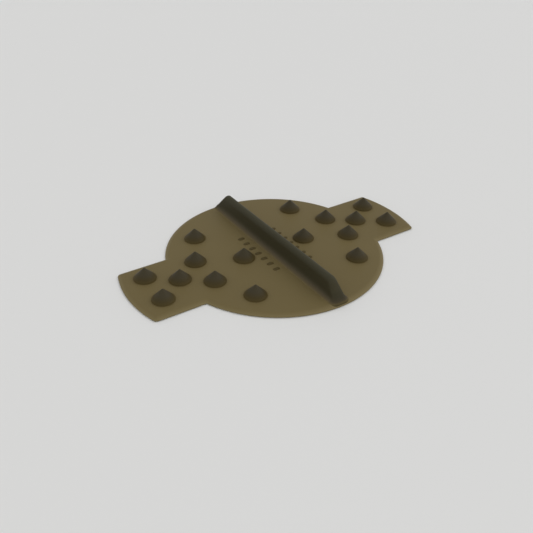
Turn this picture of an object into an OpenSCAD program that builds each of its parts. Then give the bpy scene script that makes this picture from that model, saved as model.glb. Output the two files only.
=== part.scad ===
// Snowboard stomp pad: a thin moulded mat with a scraper bar, a field of
// conical grip studs and two rows of small grip ribs, backed by a
// double-coated adhesive sheet that bonds it to the deck.
//
// X runs from tab to tab, Y along the scraper bar, Z up.
// The origin is the middle of the adhesive's underside.

/* [Mat] */
// Radius of the round middle of the mat
disc_r = 65; // [60:0.5:70]
// Distance from the middle to the tip of each tab
half_length = 94; // [90:0.5:100]
// Width of each tab
tab_w = 49.5; // [46:0.5:56]
// Radius of the bowed end of each tab
tab_end_r = 75; // [66:0.5:90]
// Rounding of the tabs' outer corners
tab_corner_r = 2.4; // [0.8:0.1:3]
// Thickness of the moulded mat inside its bevel
mat_t = 1.9; // [1.4:0.1:2.4]
// Thickness left at the rim
rim_t = 0.6; // [0.4:0.1:1.2]
// Width of the bevel that runs round the rim
bevel_w = 2.4; // [1.2:0.1:2.4]

/* [Scraper bar] */
// How far each end of the bar's foot stops short of the mat's rim
bar_inset = 2.6; // [2.6:0.1:8]
// Height of the bar above the mat
bar_h = 11.5; // [8:0.1:14]
// Radius of the rounded crest
crest_r = 1.7; // [1.4:0.1:2]
// Depth that a narrow flat along the top takes off the rounded crest
crest_flat = 0.05; // [0.02:0.01:0.2]
// Radius of the hollow curve between flank and mat
foot_r = 3; // [2.5:0.1:3.6]
// Thickness left at the outer edge of the foot
foot_toe = 0.2; // [0.1:0.1:0.5]
// Lean of the flanks from upright, in degrees
flank_lean = 13; // [6:1:16]
// Steepness of the two sloping ends, in degrees
end_slope = 56; // [50:1:65]
// Radius of the shoulder between crest and sloping end
shoulder_r = 4.5; // [4:0.5:7.5]

/* [Grip studs] */
// Radius of a stud at its base
stud_r = 6.5; // [5:0.1:6.8]
// Height of a stud above the mat
stud_h = 7.2; // [5:0.1:9]
// Radius of the blunted tip
stud_tip_r = 0.6; // [0.4:0.1:1]
// Height of the short upright wall at the base
stud_wall_h = 0.4; // [0.2:0.1:0.8]

/* [Grip ribs] */
// Number of ribs in each row
rib_count = 7; // [5:1:7]
// Spacing of the ribs along the bar
rib_pitch = 6.4; // [5:0.1:6.4]
// Length of a rib, across the row
rib_length = 4.2; // [3:0.1:4.2]
// Width of a rib
rib_w = 2.4; // [1:0.1:2.6]
// Height of a rib above the mat
rib_h = 0.5; // [0.3:0.1:0.8]
// Distance of each row from the middle of the bar
rib_row_x = 11.6; // [10.6:0.1:11.8]

/* [Adhesive sheet] */
// Thickness of each of the two adhesive coats
adhesive_t = 0.1; // [0.05:0.05:0.4]
// Thickness of the film between the two coats
film_t = 0.05; // [0.05:0.05:0.2]
// How far the sheet stops short of the mat's rim
sheet_inset = 0.4; // [0.2:0.1:1.4]

/* [Hidden] */
$fn = 96;
sheet_t = 2 * adhesive_t + film_t;
mat_top = sheet_t + mat_t;
rim_top = sheet_t + rim_t;
tab_end_x = half_length - tab_end_r;
bar_length = 2 * (disc_r - bar_inset);

// Stud places on the half with positive X; the other half is its mirror image.
stud_places = [
    [21.4, 0],
    [35.4, 34.4],
    [35.4, -34.4],
    [47.3, 11.5],
    [47.3, -11.5],
    [63, 0],
    [78.9, 11.6],
    [78.9, -11.6]
];
stud_centres = [for (side = [-1, 1], place = stud_places) [side * place[0], place[1]]];
stud_names = [for (i = [1:len(stud_centres)]) str("grip_stud_", i < 10 ? "0" : "", i)];

smoke = [0.40, 0.36, 0.25];
smoke_deep = [0.22, 0.20, 0.14];
tacky_clear = [0.80, 0.79, 0.70];
film_clear = [0.88, 0.89, 0.86];

// What rounding takes off one outer corner of a tab: a square patch less the round that fits the corner.
module tab_corner_waste() {
    corner_y = tab_w / 2 - tab_corner_r;
    corner_x = tab_end_x + sqrt(pow(tab_end_r - tab_corner_r, 2) - pow(corner_y, 2));
    difference() {
        translate([corner_x, corner_y]) square(3 * tab_corner_r);
        translate([corner_x, corner_y]) circle(tab_corner_r, $fn = 48);
    }
}

// Flat outline of the pad, drawn in by inset all round.
module outline(inset) {
    circle(disc_r - inset, $fn = 180);
    for (side = [0, 1]) mirror([side, 0]) intersection() {
        translate([0, inset - tab_w / 2]) square([half_length, tab_w - 2 * inset]);
        translate([tab_end_x, 0]) circle(tab_end_r - inset, $fn = 240);
    }
}

// Section of the mat from its middle to its rim: full thickness, then a bevel down to the rim.
module mat_section(reach) {
    polygon([
        [0, sheet_t],
        [reach, sheet_t],
        [reach, rim_top],
        [reach - bevel_w, mat_top],
        [0, mat_top]
    ]);
}

// One tab, bevelled along both sides and round its bowed end.
module mat_tab() {
    difference() {
        intersection() {
            rotate([90, 0, 90]) linear_extrude(half_length + 1)
                for (side = [0, 1]) mirror([side, 0]) mat_section(tab_w / 2);
            translate([tab_end_x, 0, 0]) rotate_extrude($fn = 240) mat_section(tab_end_r);
        }
        for (side = [0, 1]) mirror([0, side, 0])
            linear_extrude(mat_top + 1) tab_corner_waste();
    }
}

module base_mat() {
    color(smoke) {
        rotate_extrude($fn = 180) mat_section(disc_r);
        for (side = [0, 1]) mirror([side, 0, 0]) mat_tab();
    }
}

// Points along an arc about centre, from one angle to another, in degrees.
function arc(centre, r, from, to, steps = 12) =
    [for (i = [0:steps]) centre + r * [cos(from + (to - from) * i / steps), sin(from + (to - from) * i / steps)]];

// The mirror image of some points, in the order that closes an outline with them.
function mirrored_back(points) = [for (i = [len(points) - 1:-1:0]) [-points[i][0], points[i][1]]];

// Section of the scraper bar: hollow-curved foot, leaning flanks and rounded crest.
module bar_section() {
    crest_z = bar_h + crest_flat - crest_r;
    hollow_z = foot_r + foot_toe;
    foot_x = (crest_r + foot_r + (crest_z - hollow_z) * sin(flank_lean)) / cos(flank_lean);
    foot = concat([[foot_x, 0]], arc([foot_x, hollow_z], foot_r, 270, 180 + flank_lean));
    crest = arc([0, crest_z], crest_r, flank_lean, 180 - flank_lean);
    polygon(concat(foot, crest, mirrored_back(foot)));
}

// Outline of the scraper bar seen from its side: a long crest with rounded shoulders and sloping ends.
module bar_side() {
    shoulder_y = bar_length / 2 - bar_h / tan(end_slope) - shoulder_r * tan(end_slope / 2);
    shoulder = arc([shoulder_y, bar_h - shoulder_r], shoulder_r, 90 - end_slope, 90);
    end = concat([[bar_length / 2, 0]], shoulder);
    polygon(concat(end, mirrored_back(end)));
}

module scraper_bar() {
    color(smoke_deep) translate([0, 0, mat_top]) intersection() {
        rotate([90, 0, 0]) linear_extrude(bar_length + 1, center = true) bar_section();
        rotate([90, 0, 90]) linear_extrude(2 * bar_h, center = true) bar_side();
    }
}

// One grip stud: a short upright wall, a straight cone and a blunted tip.
module grip_stud(centre) {
    cone_lean = atan2(stud_r - stud_tip_r, stud_h - stud_wall_h - stud_tip_r);
    tip_z = stud_h - stud_tip_r;
    tip_start = [stud_tip_r * cos(cone_lean), tip_z + stud_tip_r * sin(cone_lean)];
    color(smoke_deep) translate([centre[0], centre[1], mat_top]) rotate_extrude($fn = 72) {
        polygon([[0, 0], [stud_r, 0], [stud_r, stud_wall_h], tip_start, [0, tip_z]]);
        intersection() {
            translate([0, tip_z]) circle(stud_tip_r, $fn = 48);
            square([stud_tip_r, stud_h]);
        }
    }
}

// One row of low round-ended ribs beside the bar.
module grip_ribs(side) {
    straight = rib_length - rib_w;
    color(smoke_deep) for (i = [0:rib_count - 1])
        translate([side * rib_row_x, (i - (rib_count - 1) / 2) * rib_pitch, mat_top])
            linear_extrude(rib_h) {
                square([straight, rib_w], center = true);
                for (end = [-1, 1]) translate([end * straight / 2, 0]) circle(d = rib_w, $fn = 32);
            }
}

// One layer of the adhesive sheet.
module sheet_layer(bottom, thickness) {
    translate([0, 0, bottom]) linear_extrude(thickness) outline(sheet_inset);
}

module adhesive_upper() {
    color(tacky_clear) sheet_layer(adhesive_t + film_t, adhesive_t);
}

module carrier_film() {
    color(film_clear) sheet_layer(adhesive_t, film_t);
}

module adhesive_lower() {
    color(tacky_clear) sheet_layer(0, adhesive_t);
}

base_mat();
scraper_bar();
grip_ribs(-1);  // grip_ribs_left
grip_ribs(1);  // grip_ribs_right
for (i = [0:len(stud_centres) - 1])
    grip_stud(stud_centres[i]);
adhesive_upper();
carrier_film();
adhesive_lower();
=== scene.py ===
"""Looks of a snowboard stomp pad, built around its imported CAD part.

The pad is one moulding of smoky olive TPU on a clear adhesive sheet. The CAD
splits the moulding into a mat, a scraper bar, grip studs and grip ribs, and
each of them is replaced here by a finer mesh: bevels and crests are rounded,
and feet run out into the mat. The TPU is translucent over a pale deck, so it
darkens with its thickness, which the material takes from the height.
"""

import math

import bmesh
import bpy
from mathutils import Matrix, Vector

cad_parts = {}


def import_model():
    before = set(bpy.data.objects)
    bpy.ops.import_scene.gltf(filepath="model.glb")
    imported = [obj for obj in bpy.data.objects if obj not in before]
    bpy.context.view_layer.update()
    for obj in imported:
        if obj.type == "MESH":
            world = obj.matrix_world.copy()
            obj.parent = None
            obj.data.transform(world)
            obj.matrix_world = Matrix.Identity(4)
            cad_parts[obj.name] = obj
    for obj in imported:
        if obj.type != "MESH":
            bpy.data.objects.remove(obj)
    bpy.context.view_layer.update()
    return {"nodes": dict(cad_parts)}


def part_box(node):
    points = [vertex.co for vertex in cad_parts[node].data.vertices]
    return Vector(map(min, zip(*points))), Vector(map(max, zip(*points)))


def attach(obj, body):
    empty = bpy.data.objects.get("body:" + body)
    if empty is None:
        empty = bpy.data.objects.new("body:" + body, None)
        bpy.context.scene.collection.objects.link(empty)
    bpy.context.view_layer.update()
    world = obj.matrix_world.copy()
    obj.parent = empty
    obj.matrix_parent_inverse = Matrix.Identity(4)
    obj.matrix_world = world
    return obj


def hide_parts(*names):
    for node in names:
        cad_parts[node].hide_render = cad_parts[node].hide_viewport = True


MM = 0.001

# The mat's plan, which the frame's boxes don't give.
TAB_WIDTH = 49.5 * MM
TAB_END_RADIUS = 75 * MM
TAB_CORNER_RADIUS = 2.4 * MM

# The mat's edge: a bevel that eases into the top, and rounded arrises.
BEVEL_WIDTH = 3.0 * MM
RIM_HEIGHT = 0.6 * MM
RIM_ROUND = 0.2 * MM

# The scraper bar's section: a rounded crest on leaning flanks, and a foot that flares out into the mat.
CREST_HALF_WIDTH = 2.6 * MM
CREST_DEPTH = 4 * MM
FLANK_LEAN = math.radians(7)
FLARE_WIDTH = 2.8 * MM
FLARE_HEIGHT = 1.1 * MM
BAR_LEVELS = 48

# The bar's two sloping ends, which run out almost to the mat's rim and swell a little half way up.
END_SLOPE = math.radians(49)
SHOULDER_RADIUS = 4.5 * MM
END_MARGIN = 0.4 * MM
END_FACE = 1.0 * MM
HIP_RADIUS = 2.4 * MM
END_SWELL = 0.8 * MM
END_SWELL_RUN = 16 * MM

# The studs' profile: a thin skirt on the mat, a rounded shoulder, a straight cone and a blunt tip.
STUD_TIP_RADIUS = 0.6 * MM
STUD_SKIRT = 0.2 * MM
STUD_SKIRT_WIDTH = 3 * MM
STUD_SHOULDER_RADIUS = 1.2 * MM

# The skirt carries on under the mat's top, so that its edge doesn't show, as (how far out, height) steps.
STUD_ROOT = [(0.6, -0.15), (0.5, -0.02)]

# The grip ribs: low rounded dashes, as (how far in, height) steps.
RIB_COUNT = 7
RIB_WIDTH = 2.4 * MM
RIB_PROFILE = [(-0.3, -0.1), (-0.3, 0), (-0.08, 0.06), (0.02, 0.2), (0.12, 0.36), (0.32, 0.47), (0.55, 0.5)]

# How deep the bar's foot sinks into the mat, so that no hairline shows.
SINK = 0.15 * MM

# Vertices closer than this are one.
WELD = 0.002 * MM

# The TPU's skin: broad faint clouds in its tone, and a fine grain in its gloss and bump, both per metre.
CLOUD_SCALE = 28
GRAIN_SCALE = 2600
GRAIN_DEPTH = 0.03 * MM

# How much darker the ends of the bar get, and over what distances from the mat's rim.
END_TONE = 0.65
END_TONE_START = 5.5 * MM
END_TONE_STOP = 0.7 * MM

FLOOR_SIZE = 6.0
FLOOR_LEVEL = -0.05 * MM


# ---------------------------------------------------------------- helpers


def arc(centre, radius, start, end, steps):
    """Points on an arc from one angle to another, in radians."""
    points = []
    for i in range(steps + 1):
        angle = start + (end - start) * i / steps
        points.append((centre[0] + radius * math.cos(angle), centre[1] + radius * math.sin(angle)))
    return points


def make_piece(name, verts, faces, material, replaced):
    """A smooth-shaded closed mesh that rides on the pad and stands for CAD nodes."""
    mesh = bpy.data.meshes.new(name)
    mesh.from_pydata(verts, [], faces)
    cleaned = bmesh.new()
    cleaned.from_mesh(mesh)
    bmesh.ops.remove_doubles(cleaned, verts=cleaned.verts, dist=WELD)
    bmesh.ops.recalc_face_normals(cleaned, faces=cleaned.faces)
    for face in cleaned.faces:
        face.smooth = True
    cleaned.to_mesh(mesh)
    cleaned.free()
    mesh.materials.append(material)
    piece = bpy.data.objects.new(name, mesh)
    bpy.context.scene.collection.objects.link(piece)
    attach(piece, "root")
    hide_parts(*replaced)
    return piece


def ring_faces(ring_count, ring_size, first=0):
    """Quads between consecutive closed rings of equal size."""
    faces = []
    for ring in range(ring_count - 1):
        low = first + ring * ring_size
        high = low + ring_size
        for i in range(ring_size):
            j = (i + 1) % ring_size
            faces.append((low + i, low + j, high + j, high + i))
    return faces


def between(start, end, steps):
    """The points strictly between two points, evenly spaced."""
    return [tuple(a + (b - a) * i / steps for a, b in zip(start, end)) for i in range(1, steps)]


def rounded_ring(half_width, reach, radius, side_steps):
    """A rectangle along y with round corners, centred on the origin, as a closed ring."""
    flat, long = half_width - radius, reach - radius
    end_steps = 4
    corner = arc((flat, long), radius, 0, math.pi / 2, 10)
    side = [(half_width, long * i / side_steps) for i in range(side_steps)]
    end = [(flat * (1 - i / end_steps), reach) for i in range(1, end_steps + 1)]
    quarter = side + corner + end
    half = quarter + [(-x, y) for x, y in reversed(quarter[:-1])]
    return half + [(x, -y) for x, y in reversed(half[1:-1])]


# ---------------------------------------------------------------- materials


def ramp(nodes, stops):
    """A colour ramp node with the given (position, colour) stops."""
    node = nodes.new("ShaderNodeValToRGB")
    elements = node.color_ramp.elements
    elements[0].position, elements[0].color = stops[0][0], (*stops[0][1], 1)
    elements[1].position, elements[1].color = stops[-1][0], (*stops[-1][1], 1)
    for position, colour in stops[1:-1]:
        elements.new(position).color = (*colour, 1)
    return node


def noise(nodes, links, vector, scale, detail, roughness=0.5):
    """A noise texture's value."""
    node = nodes.new("ShaderNodeTexNoise")
    node.inputs["Scale"].default_value = scale
    node.inputs["Detail"].default_value = detail
    node.inputs["Roughness"].default_value = roughness
    links.new(vector, node.inputs["Vector"])
    return node.outputs["Fac"]


def map_range(nodes, links, value, low, high, to_low=0, to_high=1):
    """A value carried over from one range to another."""
    node = nodes.new("ShaderNodeMapRange")
    node.inputs["From Min"].default_value = low
    node.inputs["From Max"].default_value = high
    node.inputs["To Min"].default_value = to_low
    node.inputs["To Max"].default_value = to_high
    links.new(value, node.inputs["Value"])
    return node.outputs["Result"]


def calculate(nodes, links, operation, *values):
    """What a math node makes of one or two values."""
    node = nodes.new("ShaderNodeMath")
    node.operation = operation
    for value, socket in zip(values, node.inputs):
        links.new(value, socket)
    return node.outputs["Value"]


# Colour of the TPU against height over the mat's top, in millimetres: it darkens with its thickness, but
# the bar's crest carries a painted highlight.
# MAT_SHADES are for the mat and the ribs on it.
THIN_SHADES = [
    (-1.3, (0.200, 0.159, 0.073)),
    (-0.4, (0.170, 0.132, 0.057)),
    (0, (0.155, 0.119, 0.049)),
    (0.1, (0.141, 0.107, 0.043)),
]
MAT_SHADES = THIN_SHADES + [
    (0.3, (0.078, 0.057, 0.019)),
    (4.0, (0.060, 0.044, 0.015)),
]
STUD_SHADES = THIN_SHADES + [
    (0.3, (0.104, 0.076, 0.026)),
    (0.8, (0.074, 0.053, 0.0155)),
    (2.0, (0.060, 0.044, 0.015)),
    (4.0, (0.057, 0.047, 0.026)),
]
BAR_SHADES_AND_CREST_HIGHLIGHT = [
    (-1.3, (0.096, 0.073, 0.030)),
    (-0.5, (0.125, 0.096, 0.038)),
    (0, (0.154, 0.119, 0.049)),
    (0.1, (0.140, 0.107, 0.047)),
    (0.3, (0.115, 0.089, 0.043)),
    (0.8, (0.089, 0.070, 0.038)),
    (1.5, (0.068, 0.056, 0.030)),
    (2.5, (0.054, 0.046, 0.024)),
    (4.0, (0.048, 0.042, 0.021)),
    (8.0, (0.048, 0.042, 0.021)),
    # Painted highlight: the crest's stop is paler and greyer than its thickness alone would make it,
    # standing in for its gloss.
    (11.5, (0.054, 0.050, 0.029)),
]


def smoked_tpu(name, mat_top, shades, end_y=None):
    """Smoky olive TPU: paler where it is thin, nearly black where it is thick, with a satin moulded skin.

    The ends of a long piece, at end_y either way, are seen through their length and so are darker.
    """
    material = bpy.data.materials.new(name)
    material.use_nodes = True
    nodes, links = material.node_tree.nodes, material.node_tree.links
    bsdf = nodes["Principled BSDF"]
    where = nodes.new("ShaderNodeTexCoord").outputs["Object"]
    place = nodes.new("ShaderNodeSeparateXYZ")
    links.new(where, place.inputs[0])

    lowest, highest = shades[0][0], shades[-1][0]
    level = map_range(nodes, links, place.outputs["Z"], mat_top + lowest * MM, mat_top + highest * MM)
    shade = ramp(nodes, [((height - lowest) / (highest - lowest), colour) for height, colour in shades])
    links.new(level, shade.inputs["Fac"])

    cloud = noise(nodes, links, where, CLOUD_SCALE, 3)
    tone = map_range(nodes, links, cloud, 0, 1, 0.97, 1.03)
    if end_y:
        along = calculate(nodes, links, "ABSOLUTE", place.outputs["Y"])
        start, stop = end_y - END_TONE_START, end_y - END_TONE_STOP
        near_end = map_range(nodes, links, along, start, stop, 1, END_TONE)
        tone = calculate(nodes, links, "MULTIPLY", tone, near_end)
    tint = nodes.new("ShaderNodeMix")
    tint.data_type = "RGBA"
    tint.blend_type = "MULTIPLY"
    tint.inputs["Factor"].default_value = 1
    links.new(shade.outputs["Color"], tint.inputs["A"])
    links.new(tone, tint.inputs["B"])
    links.new(tint.outputs["Result"], bsdf.inputs["Base Color"])

    grain = noise(nodes, links, where, GRAIN_SCALE, 4, 0.6)
    links.new(map_range(nodes, links, grain, 0, 1, 0.48, 0.60), bsdf.inputs["Roughness"])
    bump = nodes.new("ShaderNodeBump")
    bump.inputs["Strength"].default_value = 0.25
    bump.inputs["Distance"].default_value = GRAIN_DEPTH
    links.new(grain, bump.inputs["Height"])
    links.new(bump.outputs["Normal"], bsdf.inputs["Normal"])
    bsdf.inputs["IOR"].default_value = 1.5
    bsdf.inputs["Specular IOR Level"].default_value = 0.12
    return material


def clear_layer(name, colour, roughness):
    """A clear tacky coat or film over a pale deck, with faint flow marks."""
    material = bpy.data.materials.new(name)
    material.use_nodes = True
    nodes, links = material.node_tree.nodes, material.node_tree.links
    bsdf = nodes["Principled BSDF"]
    where = nodes.new("ShaderNodeTexCoord").outputs["Object"]
    marks = noise(nodes, links, where, 90, 3)
    shade = ramp(nodes, [(0.3, tuple(0.9 * c for c in colour)), (0.7, colour)])
    links.new(marks, shade.inputs["Fac"])
    links.new(shade.outputs["Color"], bsdf.inputs["Base Color"])
    bsdf.inputs["Roughness"].default_value = roughness
    return material


# ---------------------------------------------------------------- mat


def corner_points(inset, half_length, steps):
    """The rounded outer corner of a tab in the first quadrant, from the end's arc to the tab's side."""
    centre_y = TAB_WIDTH / 2 - TAB_CORNER_RADIUS
    end_x = half_length - TAB_END_RADIUS
    centre_x = end_x + math.sqrt((TAB_END_RADIUS - TAB_CORNER_RADIUS) ** 2 - centre_y**2)
    if inset < TAB_CORNER_RADIUS:
        start = math.atan2(centre_y, centre_x - end_x)
        return arc((centre_x, centre_y), TAB_CORNER_RADIUS - inset, start, math.pi / 2, steps)
    side_y = TAB_WIDTH / 2 - inset
    tip_x = end_x + math.sqrt((TAB_END_RADIUS - inset) ** 2 - side_y**2)
    return [(tip_x, side_y)] * (steps + 1)


def mat_ring(inset, half_length, disc_radius):
    """The mat's outline drawn in by inset, as a closed ring with the same number of points at any inset."""
    end_x = half_length - TAB_END_RADIUS
    corner = corner_points(inset, half_length, 8)
    end_reach = math.atan2(corner[0][1], corner[0][0] - end_x)
    tab_end = arc((end_x, 0), TAB_END_RADIUS - inset, 0, end_reach, 24)
    side_y = TAB_WIDTH / 2 - inset
    radius = disc_radius - inset
    neck_x = math.sqrt(radius**2 - side_y**2)
    side_steps = 12
    side = between((corner[-1][0], side_y), (neck_x, side_y), side_steps)
    disc = arc((0, 0), radius, math.atan2(side_y, neck_x), math.pi / 2, 40)
    quarter = tab_end + corner[1:] + side + disc
    half = quarter + [(-x, y) for x, y in reversed(quarter[:-1])]
    return half + [(x, -y) for x, y in reversed(half[1:-1])]


def bevel_height(inset, bottom, top):
    """Height of the mat's upper surface at a distance inside its rim."""
    start = RIM_ROUND / 2
    share = min(max((inset - start) / (BEVEL_WIDTH - start), 0), 1)
    rim = bottom + RIM_HEIGHT - RIM_ROUND * (1 - math.sin(math.pi / 3))
    return rim + (top - rim) * math.sin(share * math.pi / 2)


def edge_profile(bottom, top):
    """(inset, height) steps from the underside, up the rim and over the bevel to the flat top."""
    rim = bottom + RIM_HEIGHT
    steps = [(1.5 * MM, bottom)]
    steps += [(RIM_ROUND - x, bottom + RIM_ROUND + z)
              for x, z in arc((0, 0), RIM_ROUND, -math.pi / 2, 0, 4)]
    steps += [(RIM_ROUND - x, rim - RIM_ROUND + z)
              for x, z in arc((0, 0), RIM_ROUND, 0, math.pi / 3, 4)]
    start = steps[-1][0]
    bevel_steps = 12
    for i in range(1, bevel_steps + 1):
        inset = start + (BEVEL_WIDTH - start) * i / bevel_steps
        steps.append((inset, bevel_height(inset, bottom, top)))
    return steps


def build_mat(material):
    """The mat: its outline drawn in and raised along the edge profile, and closed top and bottom."""
    low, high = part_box("base_mat")
    rings = [[(x, y, z) for x, y in mat_ring(inset, high.x, high.y)]
             for inset, z in edge_profile(low.z, high.z)]
    verts = [point for ring in rings for point in ring]
    size = len(rings[0])
    faces = ring_faces(len(rings), size)
    faces.append(tuple(range(size)))
    faces.append(tuple(range(len(verts) - size, len(verts))))
    return make_piece("moulded_mat", verts, faces, material, ["base_mat"])


# ---------------------------------------------------------------- scraper bar


def bar_half_width(z, height):
    """Half the bar's width at a height over the mat."""
    crest_foot = height - CREST_DEPTH
    if z > crest_foot:
        rise = (z - crest_foot) / CREST_DEPTH
        body = CREST_HALF_WIDTH * math.sqrt(max(1 - rise**2, 0))
    else:
        body = CREST_HALF_WIDTH + (crest_foot - z) * math.tan(FLANK_LEAN)
    return body + FLARE_WIDTH * math.exp(-z / FLARE_HEIGHT) * (1 - z / height)


def bar_end_profile(height, mat_low, mat_high):
    """The bar's end seen from its side, from the rim up, as (y, height over the mat's own surface)."""
    slope = math.tan(END_SLOPE)
    rim_y = mat_high.y - END_MARGIN
    shoulder_y = rim_y - height / slope - SHOULDER_RADIUS * math.tan(END_SLOPE / 2)
    centre = (shoulder_y, height - SHOULDER_RADIUS)
    shoulder = arc(centre, SHOULDER_RADIUS, math.pi / 2 - END_SLOPE, math.pi / 2, 14)
    face_y = rim_y - END_FACE
    face = (face_y, END_FACE * slope)
    profile = [(rim_y, 0)]
    for y, z in [face] + between(face, shoulder[0], 16) + shoulder:
        profile.append((y, z + mat_high.z - bevel_height(mat_high.y - y, mat_low.z, mat_high.z)))
    return profile


def bar_reach(z, profile):
    """Distance from the bar's middle to its end at a height."""
    for low, high in zip(profile, profile[1:]):
        if z <= high[1]:
            share = (z - low[1]) / max(high[1] - low[1], 1e-9)
            return low[0] + (high[0] - low[0]) * share
    return profile[-1][0]


def end_swell(y, z, rim_y, height):
    """How many times wider the bar is at a place near its end, half way up."""
    share = min(max(1 - (rim_y - abs(y)) / END_SWELL_RUN, 0), 1)
    return 1 + END_SWELL / CREST_HALF_WIDTH * share**2 * (3 - 2 * share) * math.sin(math.pi * z / height)


def build_bar(material):
    """The scraper bar, as level rings from its foot to its crest that follow the mat's own surface."""
    low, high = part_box("scraper_bar")
    mat_low, mat_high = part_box("base_mat")
    height = high.z - low.z
    profile = bar_end_profile(height, mat_low, mat_high)
    rim_y = profile[0][0]
    # The levels crowd towards the foot and the crest, where the section curves most.
    levels = [height * math.sin(math.pi / 2 * i / BAR_LEVELS) ** 1.5 for i in range(BAR_LEVELS + 1)]
    rings = []
    for z in levels:
        half_width = bar_half_width(z, height)
        # The hips are rounder lower down, where the bar is wider.
        corner = min(half_width, HIP_RADIUS + max(half_width - CREST_HALF_WIDTH, 0) / 3)
        contour = rounded_ring(half_width, bar_reach(z, profile), corner, 60)
        ring = []
        for x, y in contour:
            x = x * end_swell(y, z, rim_y, height)
            out = math.hypot(x, y)
            # The foot stays inside the mat's round rim.
            if out > rim_y:
                x, y, out = x * rim_y / out, y * rim_y / out, rim_y
            inset = mat_high.y - out
            ring.append((x, y, bevel_height(inset, mat_low.z, mat_high.z) + z))
        rings.append(ring)
    foot = [(x, y, z - SINK) for x, y, z in rings[0]]
    rings.insert(0, foot)
    verts = [point for ring in rings for point in ring]
    faces = ring_faces(len(rings), len(foot))
    faces.append(tuple(range(len(foot))))
    return make_piece("moulded_scraper_bar", verts, faces, material, ["scraper_bar"])


# ---------------------------------------------------------------- ribs


def build_ribs(name, node, material):
    """One row of low rounded dashes that lie across the bar's direction."""
    low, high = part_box(node)
    row_x = (low.x + high.x) / 2
    pitch = (high.y - low.y - RIB_WIDTH) / (RIB_COUNT - 1)
    verts, faces = [], []
    for rib in range(RIB_COUNT):
        rib_y = low.y + RIB_WIDTH / 2 + rib * pitch
        first = len(verts)
        for inset, z in RIB_PROFILE:
            half_width = RIB_WIDTH / 2 - inset * MM
            reach = (high.x - low.x) / 2 - inset * MM
            for y, x in rounded_ring(half_width, reach, half_width * 0.98, 6):
                verts.append((row_x + x, rib_y + y, low.z + z * MM))
        size = (len(verts) - first) // len(RIB_PROFILE)
        faces += ring_faces(len(RIB_PROFILE), size, first)
        faces.append(tuple(range(first, first + size)))
        faces.append(tuple(range(len(verts) - size, len(verts))))
    return make_piece(name, verts, faces, material, [node])


# ---------------------------------------------------------------- studs


def skirt_profile(radius, width, rise, steps):
    """(radius, height) steps of a hollow-curved skirt that runs out onto the mat round a foot."""
    fade = math.exp(-3)
    points = []
    for i in range(steps):
        out = 1 - i / steps
        points.append((radius + width * out, rise * (math.exp(-3 * out) - fade) / (1 - fade)))
    return points


def stud_profile(radius, height):
    """(radius, height) steps from the edge of the stud's skirt to its tip."""
    tip_z = height - STUD_TIP_RADIUS
    shoulder_x = radius - STUD_SHOULDER_RADIUS
    run, rise = shoulder_x, tip_z - STUD_SKIRT
    reach = math.hypot(run, rise)
    # The flank is the outer tangent of the shoulder's and the tip's rounds.
    outward = math.atan2(run, rise) + math.asin((STUD_SHOULDER_RADIUS - STUD_TIP_RADIUS) / reach)
    skirt = skirt_profile(radius, STUD_SKIRT_WIDTH, STUD_SKIRT, 10)
    shoulder = arc((shoulder_x, STUD_SKIRT), STUD_SHOULDER_RADIUS, 0, outward, 8)
    tip = arc((0, tip_z), STUD_TIP_RADIUS, outward, math.pi / 2, 6)
    return skirt + shoulder + between(shoulder[-1], tip[0], 10) + tip[:-1]


def build_stud(name, node, material):
    """One grip stud, as its profile turned round its middle."""
    low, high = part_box(node)
    centre = (low + high) / 2
    radius = (high.x - low.x) / 2
    profile = stud_profile(radius, high.z - low.z)
    steps = 72
    verts = []
    skirt_edge = profile[0][0]
    rings = [(skirt_edge + out * MM, z * MM) for out, z in STUD_ROOT] + profile
    for r, z in rings:
        for i in range(steps):
            angle = math.tau * i / steps
            verts.append((centre.x + r * math.cos(angle), centre.y + r * math.sin(angle), low.z + z))
    faces = ring_faces(len(rings), steps)
    faces.append(tuple(range(steps)))
    apex = len(verts)
    verts.append((centre.x, centre.y, high.z))
    last = apex - steps
    faces += [(last + i, last + (i + 1) % steps, apex) for i in range(steps)]
    return make_piece(name, verts, faces, material, [node])


# ---------------------------------------------------------------- camera and light


def make_camera():
    """The photograph's view: low over the near left of the pad."""
    data = bpy.data.cameras.new("camera")
    camera = bpy.data.objects.new("camera", data)
    bpy.context.scene.collection.objects.link(camera)
    azimuth, elevation, roll = (math.radians(a) for a in (-34.04, 33.79, 1.18))
    target = Vector((-13.15 * MM, -11.4 * MM, 0))
    distance = 379 * MM
    back = Vector((
        math.sin(azimuth) * math.cos(elevation),
        -math.cos(azimuth) * math.cos(elevation),
        math.sin(elevation),
    ))
    right = Vector((0, 0, 1)).cross(back).normalized()
    up = back.cross(right)
    rolled_right = math.cos(roll) * right + math.sin(roll) * up
    rolled_up = math.cos(roll) * up - math.sin(roll) * right
    turn = Matrix((rolled_right, rolled_up, back)).transposed()
    camera.matrix_world = Matrix.Translation(target + back * distance) @ turn.to_4x4()
    data.lens = 44.1
    data.sensor_width = 36
    data.clip_start = 0.01
    data.clip_end = 50
    bpy.context.scene.camera = camera


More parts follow.
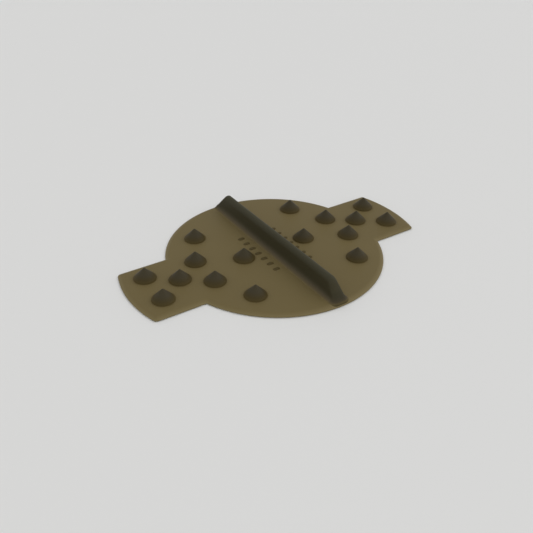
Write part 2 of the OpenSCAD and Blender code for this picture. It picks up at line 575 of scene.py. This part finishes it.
def make_light():
    """Even light from all round, as in a light tent, and a weak broad softbox high on the right."""
    world = bpy.data.worlds.new("studio")
    world.use_nodes = True
    sky = world.node_tree.nodes["Background"]
    sky.inputs["Color"].default_value = (1, 1, 1, 1)
    sky.inputs["Strength"].default_value = 0.72
    bpy.context.scene.world = world

    data = bpy.data.lights.new("softbox", "SUN")
    data.energy = 0.50
    data.angle = math.radians(50)
    light = bpy.data.objects.new("softbox", data)
    azimuth, elevation = math.radians(-15), math.radians(48)
    towards = Vector((
        math.cos(azimuth) * math.cos(elevation),
        math.sin(azimuth) * math.cos(elevation),
        math.sin(elevation),
    ))
    light.rotation_euler = towards.to_track_quat("Z", "Y").to_euler()
    bpy.context.scene.collection.objects.link(light)
    bpy.context.scene.view_settings.view_transform = "Standard"


def make_floor():
    """A plain pale deck, a hair below the adhesive."""
    mesh = bpy.data.meshes.new("floor")
    half = FLOOR_SIZE / 2
    corners = [(-half, -half), (half, -half), (half, half), (-half, half)]
    mesh.from_pydata([(x, y, FLOOR_LEVEL) for x, y in corners], [], [(0, 1, 2, 3)])
    floor = bpy.data.objects.new("floor", mesh)
    bpy.context.scene.collection.objects.link(floor)
    white = bpy.data.materials.new("deck_white")
    white.use_nodes = True
    bsdf = white.node_tree.nodes["Principled BSDF"]
    bsdf.inputs["Base Color"].default_value = (0.80, 0.80, 0.79, 1)
    bsdf.inputs["Roughness"].default_value = 0.6
    mesh.materials.append(white)


# ---------------------------------------------------------------- assembly


def main():
    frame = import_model()
    nodes = frame["nodes"]
    mat_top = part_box("base_mat")[1].z
    make_camera()
    make_light()
    make_floor()

    mat_tpu = smoked_tpu("smoked_tpu_mat", mat_top, MAT_SHADES)
    bar_tpu = smoked_tpu("smoked_tpu_bar", mat_top, BAR_SHADES_AND_CREST_HIGHLIGHT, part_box("base_mat")[1].y)
    stud_tpu = smoked_tpu("smoked_tpu_studs", mat_top, STUD_SHADES)
    build_mat(mat_tpu)
    build_bar(bar_tpu)
    build_ribs("moulded_ribs_left", "grip_ribs_left", mat_tpu)
    build_ribs("moulded_ribs_right", "grip_ribs_right", mat_tpu)
    studs = sorted(n for n in nodes if n.startswith("grip_stud_"))
    for node in studs:
        build_stud(node.replace("grip_", "moulded_"), node, stud_tpu)
    tacky = clear_layer("tacky_clear", (0.62, 0.61, 0.52), 0.35)
    film = clear_layer("film_clear", (0.72, 0.73, 0.70), 0.2)
    for node, material in [
        ("adhesive_upper", tacky), ("carrier_film", film), ("adhesive_lower", tacky),
    ]:
        nodes[node].data.materials.clear()
        nodes[node].data.materials.append(material)


main()
